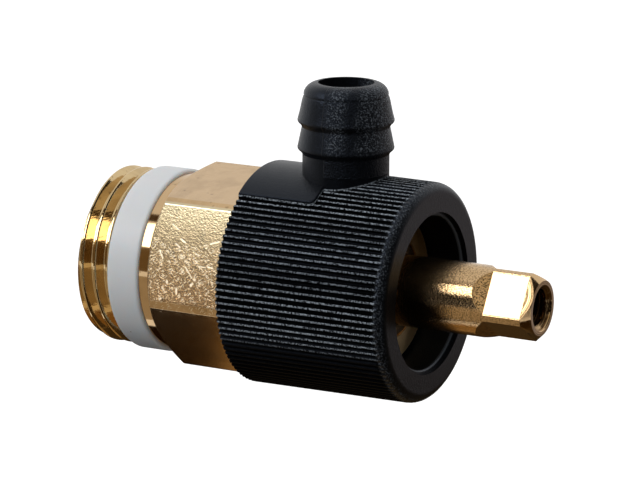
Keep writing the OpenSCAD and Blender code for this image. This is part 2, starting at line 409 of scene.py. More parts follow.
def band(tree: bpy.types.NodeTree, value: bpy.types.NodeSocket, low: float, high: float, soft: float,
         strength: float = 1.0) -> bpy.types.NodeSocket:
    """Marks where a value lies between two limits.

    Args:
        tree: Node tree that it goes in.
        value: Socket with the value.
        low: Lower limit.
        high: Upper limit.
        soft: Width inside each limit over which the mark rises and falls.
        strength: Value of the mark.

    Returns:
        A socket with the strength inside and 0 outside.
    """
    rise = add_node(tree, "MapRange", {0: value, 1: low, 2: low + soft}, interpolation_type="SMOOTHSTEP")
    fall = add_node(tree, "MapRange", {0: value, 1: high - soft, 2: high, 3: strength, 4: 0.0},
                    interpolation_type="SMOOTHSTEP")
    return add_node(tree, "Math", {0: rise.outputs[0], 1: fall.outputs[0]}, operation="MULTIPLY").outputs[0]


def total(tree: bpy.types.NodeTree, *values: bpy.types.NodeSocket) -> bpy.types.NodeSocket:
    """Adds up any number of sockets and returns the socket of their sum."""
    result = values[0]
    for value in values[1:]:
        result = add_node(tree, "Math", {0: result, 1: value}, operation="ADD").outputs[0]
    return result


def strokes(tree: bpy.types.NodeTree, flat: bpy.types.NodeSocket, turn: float, length: float, width: float,
            share: float) -> bpy.types.NodeSocket:
    """Draws short scratches of one direction, scattered at random.

    Args:
        tree: Node tree that they go in.
        flat: Coordinates on the skin, in mm.
        turn: Direction of the scratches, in degrees.
        length: Length of one, in mm.
        width: Width of one, in mm.
        share: Share of the places that hold one.

    Returns:
        A socket that is 1 in a scratch and 0 elsewhere.
    """
    turned_flat = add_node(tree, "Mapping", {"Vector": flat, "Rotation": (0, 0, math.radians(turn))}).outputs[0]
    bent = add_node(tree, "TexNoise", {"Vector": turned_flat, "Scale": 0.8 / length, "Detail": 1.0},
                    noise_dimensions="2D").outputs["Color"]
    off = add_node(tree, "VectorMath", {0: bent, "Scale": 0.5 * length}, operation="SCALE").outputs[0]
    moved = add_node(tree, "VectorMath", {0: turned_flat, 1: off}, operation="ADD").outputs[0]
    squeezed = add_node(tree, "VectorMath", {0: moved, 1: (0.5 / length, 0.5 / width, 1.0)},
                        operation="MULTIPLY").outputs[0]
    cells = add_node(tree, "TexVoronoi", {"Vector": squeezed, "Scale": 1.0}, voronoi_dimensions="2D").outputs
    line = add_node(tree, "MapRange", {0: cells["Distance"], 1: 0.1, 2: 0.34, 3: 1.0, 4: 0.0})
    drawn = add_node(tree, "SeparateColor", {0: cells["Color"]}).outputs[0]
    kept = add_node(tree, "Math", {0: drawn, 1: share}, operation="LESS_THAN").outputs[0]
    return add_node(tree, "Math", {0: line.outputs[0], 1: kept}, operation="MULTIPLY").outputs[0]


def scratch(tree: bpy.types.NodeTree, flat: bpy.types.NodeSocket, start: Point, end: Point,
            width: float) -> bpy.types.NodeSocket:
    """Draws one straight scratch.

    Args:
        tree: Node tree that it goes in.
        flat: Coordinates on the skin, in mm.
        start: Its start as (x, arc), in mm.
        end: Its end.
        width: Its width in mm.

    Returns:
        A socket that is 1 in the scratch and 0 elsewhere.
    """
    way = (end[0] - start[0], end[1] - start[1], 0.0)
    square = way[0] ** 2 + way[1] ** 2
    seen = add_node(tree, "VectorMath", {0: flat, 1: (*start, 0.0)}, operation="SUBTRACT").outputs[0]
    along = add_node(tree, "VectorMath", {0: seen, 1: way}, operation="DOT_PRODUCT").outputs["Value"]
    share = add_node(tree, "Math", {0: along, 1: square}, operation="DIVIDE", use_clamp=True).outputs[0]
    foot = add_node(tree, "VectorMath", {0: way, "Scale": share}, operation="SCALE").outputs[0]
    off = add_node(tree, "VectorMath", {0: seen, 1: foot}, operation="DISTANCE").outputs["Value"]
    return add_node(tree, "MapRange", {0: off, 1: width / 4, 2: width, 3: 1.0, 4: 0.0}).outputs[0]


@dataclass(frozen=True)
class Brass(Finish):
    """Brass with the rings of the tool that turned it.

    It gives a warm, slightly broken mirror: whole shapes of light and dark, grained at their borders.
    """

    metallic: float = 1.0
    line: float = 0.1
    line_depth: float = 0.0004
    stretch: float = 0.7

    def rings(self, tree: bpy.types.NodeTree, at: Sockets) -> bpy.types.NodeSocket:
        """Returns the height of the tool's rings, in mm: along a cylinder, and across an end face.

        Args:
            tree: Node tree that it goes in.
            at: Sockets of unrolled().
        """
        path = total(tree, at["x"], at["r"])
        waves = add_node(tree, "TexNoise", {"W": path, "Scale": 0.5 / self.line, "Detail": 1.0},
                         noise_dimensions="1D").outputs[0]
        return add_node(tree, "Math", {0: waves, 1: self.line_depth * 4}, operation="MULTIPLY").outputs[0]

    def stretch_lights(self, tree: bpy.types.NodeTree, shader: bpy.types.Node, at: Sockets,
                       where: bpy.types.NodeSocket) -> None:
        """Lets the tool's rings stretch the mirrored lights along the valve, or outwards on an end face.

        Args:
            tree: Node tree of the material.
            shader: Its Principled shader.
            at: Sockets of unrolled().
            where: Socket that is 1 where the surface was turned.
        """
        round_axis = add_node(tree, "VectorMath", {0: (1.0, 0.0, 0.0), 1: at["place"]}, operation="CROSS_PRODUCT")
        tangent = add_node(tree, "VectorTransform", {0: round_axis.outputs[0]}, vector_type="VECTOR",
                           convert_from="OBJECT", convert_to="WORLD")
        tree.links.new(tangent.outputs[0], shader.inputs["Tangent"])
        # A light stretches along the tangent, so a quarter turn sets it across the tool's rings.
        shader.inputs["Anisotropic Rotation"].default_value = 0.25
        share = add_node(tree, "Math", {0: where, 1: self.stretch}, operation="MULTIPLY")
        tree.links.new(share.outputs[0], shader.inputs["Anisotropic"])


@dataclass(frozen=True)
class HexagonBrass(Brass):
    """Brass of the body: drawn hexagon bar, turned ends and a cut thread, then tumbled with its like.

    The drawn flats are dull tan and full of short knocks from the other parts in the drum. What the
    tool cut last, the thread and the collar, is a bright mirror with crisp borders.
    """

    grain: float = 0.085
    grain_depth: float = 0.0018
    knocks: float = 0.001
    flats: Point = (4.4, 12.35)
    fresh: str = "#cdb488"
    scraped: str = "#f6ead2"
    # Brown of the real pits and clouds, also used for the painted shade across the front flat.
    stain_and_shade: str = "#6b4f2c"
    # Tone of the painted highlight on the front flat's upper part.
    pale: str = "#d0cfb2"
    highlight_paleness: float = 0.55
    turned_roughness: float = 0.09
    scraped_roughness: float = 0.3
    parted_roughness: float = 0.35
    chatter_depth: float = 0.008

    def marks(self, tree: bpy.types.NodeTree, at: Sockets) -> bpy.types.NodeSocket:
        """Returns a socket that is about 1 in the single deep scratches of the front flat.

        Args:
            tree: Node tree that they go in.
            at: Sockets of unrolled().
        """
        return total(tree, *(scratch(tree, at["flat"], start, end, width) for start, end, width in (
            ((8.4, 1.8), (9.2, 0.95), 0.08), ((9.5, 0.8), (9.6, 0.75), 0.16), ((5.5, 2.9), (5.9, 2.3), 0.1),
            ((7.5, 4.3), (8.0, 4.0), 0.11), ((7.0, 3.8), (7.5, 3.5), 0.09), ((6.4, 5.7), (7.1, 5.2), 0.09),
            ((9.2, 3.1), (9.6, 3.0), 0.1), ((9.7, 2.0), (10.4, 2.0), 0.08), ((10.6, 2.1), (11.2, 2.0), 0.09),
            ((10.6, 4.2), (11.4, 4.5), 0.12), ((6.7, 0.4), (6.8, 0.2), 0.14), ((7.8, -0.2), (7.9, -0.6), 0.13),
        )))

    def texture(self, tree: bpy.types.NodeTree, shader: bpy.types.Node, at: Sockets) -> bpy.types.NodeSocket:
        """Adds the knocks, grain, turning marks, pits, the front flat's painted shade and painted highlight, and
        colours, and returns the relief's height.

        Args:
            tree: Node tree of the material.
            shader: Its Principled shader.
            at: Sockets of unrolled().
        """
        low, high = self.flats
        drawn = band(tree, at["x"], low, high, 0.15)
        turned_share = add_node(tree, "Math", {0: 1.0, 1: drawn}, operation="SUBTRACT").outputs[0]
        # The drum knocked the front flat most, and hardly the others.
        patchy = add_node(tree, "TexNoise", {"Vector": at["flat"], "Scale": 0.35, "Detail": 1.0},
                          noise_dimensions="2D").outputs[0]
        shifted = add_node(tree, "Math", {0: patchy, 1: 5.0, 2: at["arc"]}, operation="MULTIPLY_ADD").outputs[0]
        knocked_front = band(tree, shifted, -1.0, 8.6, 2.4, 0.9)
        hit = add_node(tree, "Math", {0: knocked_front, 1: 0.1}, operation="ADD").outputs[0]
        hit_flats = add_node(tree, "Math", {0: hit, 1: drawn}, operation="MULTIPLY").outputs[0]
        front = add_node(tree, "Math", {0: band(tree, at["arc"], -3.5, 9.2, 1.0), 1: drawn}, operation="MULTIPLY")
        # Real knocks are about 0.05 mm wide. They are drawn up to twice as wide, so that they show.
        short = total(tree, *(strokes(tree, at["flat"], *stroke) for stroke in (
            (24, 0.38, 0.04, 0.16), (76, 0.34, 0.04, 0.15), (131, 0.4, 0.04, 0.22), (160, 0.34, 0.04, 0.15),
        )))
        knocked = add_node(tree, "Math", {0: short, 1: hit_flats}, operation="MULTIPLY").outputs[0]
        scraped = total(tree, knocked, self.marks(tree, at))
        sunk = add_node(tree, "Math", {0: scraped, 1: -self.knocks}, operation="MULTIPLY").outputs[0]
        on_thread = band(tree, at["x"], -9.0, 0.05, 0.05)
        grain_share = total(tree, front.outputs[0],
                            add_node(tree, "Math", {0: on_thread, 1: 0.3}, operation="MULTIPLY").outputs[0],
                            add_node(tree, "Math", {0: drawn, 1: 0.22}, operation="MULTIPLY").outputs[0],
                            add_node(tree, "Math", {0: turned_share, 1: 0.12}, operation="MULTIPLY").outputs[0])
        grained = add_node(tree, "Math", {0: self.grains(tree, at), 1: grain_share},
                           operation="MULTIPLY").outputs[0]
        ringed = add_node(tree, "Math", {0: self.rings(tree, at), 1: turned_share},
                          operation="MULTIPLY").outputs[0]
        # The die left short ripples across the thread's flanks.
        ripple = add_node(tree, "TexNoise", {"W": at["arc"], "Scale": 2.2, "Detail": 1.0},
                          noise_dimensions="1D").outputs[0]
        ripples = add_node(tree, "Math", {0: ripple, 1: self.chatter_depth}, operation="MULTIPLY").outputs[0]
        rippled = add_node(tree, "Math", {0: ripples, 1: on_thread}, operation="MULTIPLY").outputs[0]
        cut = total(tree, band(tree, at["x"], -9.0, 0.1, 0.1), band(tree, at["x"], high, 99.0, 0.1))
        colour = add_node(tree, "Mix", {0: cut, 6: linear(self.base), 7: linear(self.fresh)}, data_type="RGBA")
        pits = add_node(tree, "TexNoise", {"Vector": at["place"], "Scale": 1.3, "Detail": 4.0}).outputs[0]
        cloudy = add_node(tree, "TexNoise", {"Vector": at["flat"], "Scale": 0.4, "Detail": 3.0},
                          noise_dimensions="2D").outputs[0]
        # Painted shade: the middle of the front flat is darkened towards the brown of the pits, besides the real pits
        # and clouds.
        front_shade = add_node(tree, "Math", {0: band(tree, at["arc"], -2.4, 8.0, 3.6, 0.34), 1: drawn}, operation="MULTIPLY")
        pitted_and_shaded = total(tree, band(tree, pits, 0.64, 1.0, 0.12, 0.8), band(tree, cloudy, 0.42, 9.0, 0.3, 0.2),
                       front_shade.outputs[0])
        stained_and_shaded = add_node(tree, "Mix", {0: pitted_and_shaded, 6: colour.outputs[2], 7: linear(self.stain_and_shade)},
                           data_type="RGBA").outputs[2]
        # The front flat is painted lighter towards its upper edge, as a painted highlight.
        highlight_rise = add_node(tree, "MapRange", {0: at["arc"], 1: -1.0, 2: 8.0, 3: 0.0, 4: self.highlight_paleness}).outputs[0]
        below_edge = add_node(tree, "Math", {0: band(tree, at["arc"], -3.5, 8.25, 0.3), 1: drawn}, operation="MULTIPLY")
        front_highlight = add_node(tree, "Math", {0: highlight_rise, 1: below_edge.outputs[0]}, operation="MULTIPLY").outputs[0]
        highlighted = add_node(tree, "Mix", {0: front_highlight, 6: stained_and_shaded, 7: linear(self.pale)}, data_type="RGBA").outputs[2]
        bright = add_node(tree, "Math", {0: scraped, 1: 0.6}, operation="MULTIPLY", use_clamp=True).outputs[0]
        skin = add_node(tree, "Mix", {0: bright, 6: highlighted, 7: linear(self.scraped)}, data_type="RGBA")
        tree.links.new(skin.outputs[2], shader.inputs["Base Color"])
        # The neck's end face was parted off, which leaves it duller than what the fine tool turned.
        parted = band(tree, at["x"], 25.45, 99.0, 0.05, self.parted_roughness)
        fine_cut = add_node(tree, "Math", {0: parted, 1: self.turned_roughness}, operation="ADD").outputs[0]
        rough = add_node(tree, "MapRange", {0: drawn, 3: fine_cut, 4: self.roughness}).outputs[0]
        self.stretch_lights(tree, shader, at, turned_share)
        torn = add_node(tree, "MapRange", {0: scraped, 3: rough, 4: self.scraped_roughness}).outputs[0]
        tree.links.new(torn, shader.inputs["Roughness"])
        return total(tree, sunk, grained, ringed, rippled)


@dataclass(frozen=True)
class TurnedBrass(Brass):
    """Brass turned on a lathe, with milled flats where a piece has them.

    The shank shines like satin, the milled flats like a mirror, a torn shoulder is flecked and an end
    face shows its rings.
    """

    grain: float = 0.09
    grain_depth: float = 0.0045
    line: float = 0.06
    line_depth: float = 0.0002
    milled_from: float = 34.4
    flats_from: float = 35.75
    tip_from: float = 39.35
    turned_r: float = 3.2
    milled_roughness: float = 0.12
    tip_rings: float = 60.0
    fleck: str = "#6b5430"

    def texture(self, tree: bpy.types.NodeTree, shader: bpy.types.Node, at: Sockets) -> bpy.types.NodeSocket:
        """Adds the grain of the shank, the rings of the tip and the flecks of the milled shoulders.

        Args:
            tree: Node tree of the material.
            shader: Its Principled shader.
            at: Sockets of unrolled().

        Returns:
            The height of the relief, in mm.
        """
        inside = band(tree, at["r"], -1.0, self.turned_r, 0.03)
        reach = band(tree, at["x"], self.milled_from, self.tip_from, 0.05)
        milled = add_node(tree, "Math", {0: reach, 1: inside}, operation="MULTIPLY").outputs[0]
        tip = band(tree, at["x"], self.tip_from, 99.0, 0.05)
        rest = add_node(tree, "Math", {0: 1.0, 1: milled}, operation="SUBTRACT").outputs[0]
        satin = add_node(tree, "Math", {0: rest, 1: tip}, operation="SUBTRACT").outputs[0]
        ring_share = add_node(tree, "Math", {0: tip, 1: self.tip_rings, 2: satin}, operation="MULTIPLY_ADD")
        ringed = add_node(tree, "Math", {0: self.rings(tree, at), 1: ring_share.outputs[0]},
                          operation="MULTIPLY").outputs[0]
        grain_share = add_node(tree, "MapRange", {0: satin, 3: 0.15, 4: 1.0}).outputs[0]
        grained = add_node(tree, "Math", {0: self.grains(tree, at), 1: grain_share}, operation="MULTIPLY").outputs[0]
        before_flats = band(tree, at["x"], 0.0, self.flats_from, 0.05)
        shoulder = add_node(tree, "Math", {0: milled, 1: before_flats}, operation="MULTIPLY").outputs[0]
        pulled = add_node(tree, "VectorMath", {0: at["place"], 1: (4.0, 9.0, 9.0)}, operation="MULTIPLY")
        torn = add_node(tree, "TexNoise", {"Vector": pulled.outputs[0], "Scale": 1.0, "Detail": 3.0}).outputs[0]
        flecks = add_node(tree, "Math", {0: band(tree, torn, 0.5, 1.0, 0.12), 1: shoulder},
                          operation="MULTIPLY").outputs[0]
        dust = add_node(tree, "TexNoise", {"Vector": at["place"], "Scale": 0.65 / self.grain, "Detail": 3.0})
        specks = add_node(tree, "Math", {0: band(tree, dust.outputs[0], 0.44, 9.0, 0.2, 0.6), 1: satin},
                          operation="MULTIPLY").outputs[0]
        low, high = 1.7 * self.line_depth, 2.4 * self.line_depth
        lined = add_node(tree, "MapRange", {0: self.rings(tree, at), 1: low, 2: high, 3: 0.0, 4: 0.7}).outputs[0]
        scored = add_node(tree, "Math", {0: lined, 1: tip}, operation="MULTIPLY").outputs[0]
        dark = total(tree, flecks, specks, scored)
        colour = add_node(tree, "Mix", {0: dark, 6: linear(self.base), 7: linear(self.fleck)},
                          data_type="RGBA")
        tree.links.new(colour.outputs[2], shader.inputs["Base Color"])
        rough = add_node(tree, "MapRange", {0: satin, 3: self.milled_roughness, 4: self.roughness}).outputs[0]
        tree.links.new(rough, shader.inputs["Roughness"])
        self.stretch_lights(tree, shader, at, rest)
        sunk = add_node(tree, "Math", {0: flecks, 1: -0.012}, operation="MULTIPLY").outputs[0]
        return total(tree, ringed, grained, sunk)


@dataclass(frozen=True)
class GlassFilledNylon(Finish):
    """Black polyamide with glass fibre, moulded in an eroded tool.

    It is near black with a cool, broken sheen. Grey specks are painted on as glints of the fibres, most on the crests
    of the ribs, which are painted pale: partly wear, mostly painted highlight. The ribbed part is painted near black
    as painted shade of its grooves.
    """

    speck: float = 0.075
    crest_r: float = 10.05
    # Near black of the ribbed part: painted shade of its grooves.
    groove: str = "#020202"
    # Pale of the crests: partly wear, mostly painted highlight.
    rubbed_and_lit: str = "#aab4be"
    sheen: str = "#c8dcff"
    parting_at: float = 20.25
    specular: float = 0.2
    eroded_depth: float = 0.03
    sparkle: float = 0.24

    def rubbing_and_light(self, tree: bpy.types.NodeTree, at: Sockets) -> bpy.types.NodeSocket:
        """Returns how pale the crests are painted round the barrel, most low in front and near the tail: partly wear,
        mostly painted highlight where the light falls.

        Args:
            tree: Node tree that it goes in.
            at: Sockets of unrolled().
        """
        return total(tree, *(band(tree, at["arc"], low, high, soft, strength) for low, high, soft, strength in (
            (-4.9, 34.0, 1.6, 0.42), (-4.8, 2.2, 1.7, 0.5), (3.2, 6.4, 1.2, 0.2), (7.6, 15.0, 1.8, 0.4),
            (-34.0, -13.0, 1.6, 0.42),
        )))

    def texture(self, tree: bpy.types.NodeTree, shader: bpy.types.Node, at: Sockets) -> bpy.types.NodeSocket:
        """Adds the painted glints, the pale crests (partly wear, mostly painted highlight), the painted shade of the
        grooves and the parting line on the tail.

        Args:
            tree: Node tree of the material.
            shader: Its Principled shader.
            at: Sockets of unrolled().

        Returns:
            The height of the relief, in mm.
        """
        fine = add_node(tree, "TexNoise", {"Vector": at["place"], "Scale": 0.5 / self.speck,
                                           "Detail": 3.0}).outputs[0]
        # The barrel narrows towards the front, so its crest is found from a straight line along it.
        taper = add_node(tree, "Math", {0: at["x"], 1: 0.0119, 2: -0.0119 * 29.3}, operation="MULTIPLY_ADD")
        level = total(tree, at["r"], taper.outputs[0])
        ribbed = band(tree, level, 9.6, self.crest_r + 0.12, 0.05)
        on_ribs = add_node(tree, "Math", {0: ribbed, 1: band(tree, at["x"], 12.0, 28.6, 0.3)},
                           operation="MULTIPLY").outputs[0]
        crest = band(tree, level, self.crest_r - 0.05, self.crest_r + 0.12, 0.04)
        glint = band(tree, fine, 0.36, 9.0, 0.3)
        # Painted highlight on the crests, partly wear, broken into specks.
        worn_and_lit = add_node(tree, "Math", {0: self.rubbing_and_light(tree, at), 1: glint}, operation="MULTIPLY").outputs[0]
        above = band(tree, at["z"], 10.35, 99.0, 0.1)
        eroded_front = add_node(tree, "Math", {0: above, 1: band(tree, at["x"], self.parting_at, 99.0, 0.05)},
                                operation="MULTIPLY").outputs[0]
        # Painted glints on the barbs and on the barrel's rounded front edge.
        lit = total(tree, band(tree, at["x"], self.parting_at, 22.6, 0.9), band(tree, at["x"], 22.7, 99.0, 0.9))
        barbs = add_node(tree, "Math", {0: lit, 1: band(tree, at["z"], 12.2, 99.0, 1.2)}, operation="MULTIPLY")
        rim_glints = add_node(tree, "Math", {0: band(tree, at["x"], 28.2, 29.28, 0.3, 0.6), 1: band(tree, at["r"], 9.0, 11.0, 0.3)},
                       operation="MULTIPLY")
        sparkling = total(tree, barbs.outputs[0], rim_glints.outputs[0])
        sparks = add_node(tree, "Math", {0: band(tree, fine, 0.47, 9.0, 0.22, self.sparkle), 1: sparkling},
                          operation="MULTIPLY").outputs[0]
        # A painted highlight along the mouth's ledge.
        step_highlight = add_node(tree, "Math", {0: band(tree, at["r"], 7.0, 7.2, 0.04, 0.12), 1: band(tree, at["x"], 28.6, 29.1, 0.1)},
                        operation="MULTIPLY")
        # Holds the painted glints and the painted highlight of the mouth.
        edges = total(tree, sparks, step_highlight.outputs[0])
        pale_and_lit = add_node(tree, "Math", {0: worn_and_lit, 1: crest, 2: edges}, operation="MULTIPLY_ADD").outputs[0]
        # The ribbed part is painted near black, as painted shade of its grooves.
        skin = add_node(tree, "Mix", {0: on_ribs, 6: linear(self.base), 7: linear(self.groove)},
                        data_type="RGBA")
        colour = add_node(tree, "Mix", {0: pale_and_lit, 6: skin.outputs[2], 7: linear(self.rubbed_and_lit)}, data_type="RGBA")
        tree.links.new(colour.outputs[2], shader.inputs["Base Color"])
        # An eroded skin loses part of its mirror light between its peaks, and a groove nearly all.
        dull = add_node(tree, "MapRange", {0: on_ribs, 3: self.specular, 4: 0.03}).outputs[0]
        mirror = add_node(tree, "Math", {0: pale_and_lit, 1: 0.3, 2: dull}, operation="MULTIPLY_ADD").outputs[0]
        tree.links.new(mirror, shader.inputs["Specular IOR Level"])
        shader.inputs["Specular Tint"].default_value = linear(self.sheen)
        depth = add_node(tree, "MapRange", {0: eroded_front, 3: self.eroded_depth, 4: 4 * self.eroded_depth})
        eroded = add_node(tree, "Math", {0: fine, 1: depth.outputs[0]}, operation="MULTIPLY").outputs[0]
        line = band(tree, at["x"], self.parting_at - 0.07, self.parting_at + 0.07, 0.06, 0.03)
        ridge = add_node(tree, "Math", {0: line, 1: above}, operation="MULTIPLY").outputs[0]
        return total(tree, eroded, ridge)


@dataclass(frozen=True)
class TurnedPtfe(Finish):
    """White PTFE, turned from a tube.

    It is a soft, waxy white: light goes a little way in, so its edges glow instead of going dark.
    """

    line: float = 0.12
    line_depth: float = 0.0015
    depth_of_light: float = 1.1
    dirt: str = "#8d7f72"

    def texture(self, tree: bpy.types.NodeTree, shader: bpy.types.Node, at: Sockets) -> bpy.types.NodeSocket:
        """Adds the turning lines and a few specks of dirt, and returns the relief's height.

        Args:
            tree: Node tree of the material.
            shader: Its Principled shader.
            at: Sockets of unrolled().
        """
        shader.inputs["Subsurface Weight"].default_value = 0.85
        shader.inputs["Subsurface Radius"].default_value = (1.4, 1.0, 0.85)
        shader.inputs["Subsurface Scale"].default_value = self.depth_of_light * MM
        specks = add_node(tree, "TexVoronoi", {"Vector": at["place"], "Scale": 0.45}).outputs["Distance"]
        dirty = band(tree, specks, -1.0, 0.05, 0.02)
        colour = add_node(tree, "Mix", {0: dirty, 6: linear(self.base), 7: linear(self.dirt)}, data_type="RGBA")
        tree.links.new(colour.outputs[2], shader.inputs["Base Color"])
        waves = add_node(tree, "TexNoise", {"W": total(tree, at["x"], at["r"]), "Scale": 0.5 / self.line,
                                            "Detail": 1.0}, noise_dimensions="1D").outputs[0]
        lines = add_node(tree, "Math", {0: waves, 1: self.line_depth * 4}, operation="MULTIPLY").outputs[0]
        return total(tree, lines, self.grains(tree, at))


def dress(piece: bpy.types.Object, finish: Finish, body: Body, slot: Slot, *nodes: str) -> None:
    """Gives a piece its finish and its body, and hides the CAD nodes that it stands for.

    Args:
        piece: Finished object.
        finish: What it is made of.
        body: Body that it moves with.
        slot: Material slot of the record; not used.
        nodes: CAD nodes that it stands for.
    """
    piece.data.materials.clear()
    piece.data.materials.append(finish.material())
    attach(piece, body.value)
    if nodes:
        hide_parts(*nodes)
    LOG.info("%s: %d faces, rides on %s", piece.name, len(piece.data.polygons), body.value)


# Sub-assemblies


@dataclass
class BrassBody:
    """Thread stub, collar, hexagon and neck, turned and milled from one bar."""

    thread_r: float = 8.33
    thread_root_r: float = 7.474
    pitch: float = 1.337
    crest_at: float = -2.83
    stub_end: float = -3.7
    thread_chamfer: float = 0.45
    inlet_r: float = 5.0
    seat_r: float = 2.0
    seal_seat_r: float = 7.4
    shoulder: float = 3.3
    collar_r: float = 8.3
    hex_from: float = 4.3
    hex_to: float = 12.3
    hex_af: float = 17.0
    hex_corner_r: float = 9.6
    hex_chamfer: float = 0.85
    hex_turn: float = 19.0
    neck_r: float = 6.8
    neck_end: float = 25.6

    def core(self) -> bpy.types.Object:
        """Returns the turned core with its bores, seat lip and neck grooves."""
        outer = [
            (self.stub_end, self.thread_r - self.thread_chamfer),
            (self.stub_end + self.thread_chamfer, self.thread_r),
            (0.0, self.thread_r),
            (0.0, self.seal_seat_r),
            (self.hex_from + 0.5, self.seal_seat_r),
            (self.hex_from + 0.5, self.neck_r),
        ]
        grooves = ((13.15, 14.05, 5.9), (14.9, 16.5, 5.6), (17.2, 22.6, 5.4), (23.1, 24.7, 5.6))
        neck = [p for a, b, r in grooves for p in ((a, self.neck_r), (a, r), (b, r), (b, self.neck_r))]
        end = [(self.neck_end - 0.2, self.neck_r), (self.neck_end, self.neck_r - 0.2)]
        bores = [
            (self.neck_end, 4.65), (20.9, 4.65), (20.9, 3.95), (6.3, 3.95), (6.3, 2.5), (6.7, 2.5),
            (6.7, self.seat_r), (4.3, self.seat_r), (4.3, self.inlet_r), (self.stub_end, self.inlet_r),
        ]
        return turned("valve_body_dressed", outer + neck + end + bores, ring=True, segments=192)

    def hexagon(self) -> bpy.types.Object:
        """Returns the collar and the hexagon with its turned corners, rounded a little at the edges."""
        bpy.ops.mesh.primitive_cylinder_add(
            vertices=6, radius=self.hex_af / 2 / math.cos(math.radians(30)) * MM,
            depth=(self.hex_to - self.shoulder) * MM,
            location=((self.hex_to + self.shoulder) / 2 * MM, 0, 0), rotation=(0, math.pi / 2, 0),
        )
        prism = settle(named("hexagon"))
        prism.rotation_euler = (math.radians(30 - self.hex_turn), 0, 0)
        settle(prism)
        corners = turned("hexagon_corners", (
            (self.shoulder, self.collar_r), (self.hex_from, self.collar_r),
            (self.hex_from + self.hex_chamfer, self.hex_corner_r), (self.hex_to, self.hex_corner_r),
        ), segments=192)
        combine(prism, corners, "INTERSECT")
        soften(prism, 0.06, over_degrees=18)
        return prism

    def thread_groove(self) -> bpy.types.Object:
        """Returns the tool that cuts the pipe thread: a 55 degree groove along a right-handed helix."""
        half = self.pitch / 2
        section = (
            (-half - 0.02, self.thread_r + 0.3), (-half + 0.05, self.thread_r + 0.002),
            (-0.5, self.thread_r - 0.12), (-0.12, self.thread_root_r + 0.03), (0, self.thread_root_r),
            (0.12, self.thread_root_r + 0.03), (0.5, self.thread_r - 0.12),
            (half - 0.05, self.thread_r + 0.002), (half - 0.02, self.thread_r + 0.3),
        )
        turns = 4
        first = self.crest_at + half - 2 * self.pitch
        return helix_cutter("thread_groove", section, self.pitch, first, turns)

    def build(self) -> None:
        """Makes the body and dresses it."""
        body = self.core()
        combine(body, self.hexagon(), "UNION")
        for turn in (0, 90):
            combine(body, drill("port", 1.1, -7.5, 7.5, 18.5, turn), "DIFFERENCE")
        combine(body, self.thread_groove(), "DIFFERENCE")
        smooth(body)
        dress(body, MACHINED_BRASS, Body.VALVE, Slot.BODY_BRASS, "valve_body")


@dataclass
class SealRing:
    """White ring in the groove behind the thread."""

    outer_r: float = 8.65
    inner_r: float = 7.4
    width: float = 3.3

    def build(self) -> None:
        """Makes the ring and dresses it."""
        ring = turned("thread_seal_ring_dressed", (
            (0.0, self.inner_r), (0.0, self.outer_r - 0.35), (0.1, self.outer_r - 0.12),
            (0.35, self.outer_r), (self.width - 0.32, self.outer_r), (self.width - 0.14, self.outer_r - 0.05),
            (self.width - 0.04, self.outer_r - 0.17), (self.width, self.outer_r - 0.34),
            (self.width, self.inner_r),
        ), ring=True, segments=160)
        smooth(ring, 40)
        dress(ring, RING_PLASTIC, Body.VALVE, Slot.RING_PLASTIC, "thread_seal_ring")


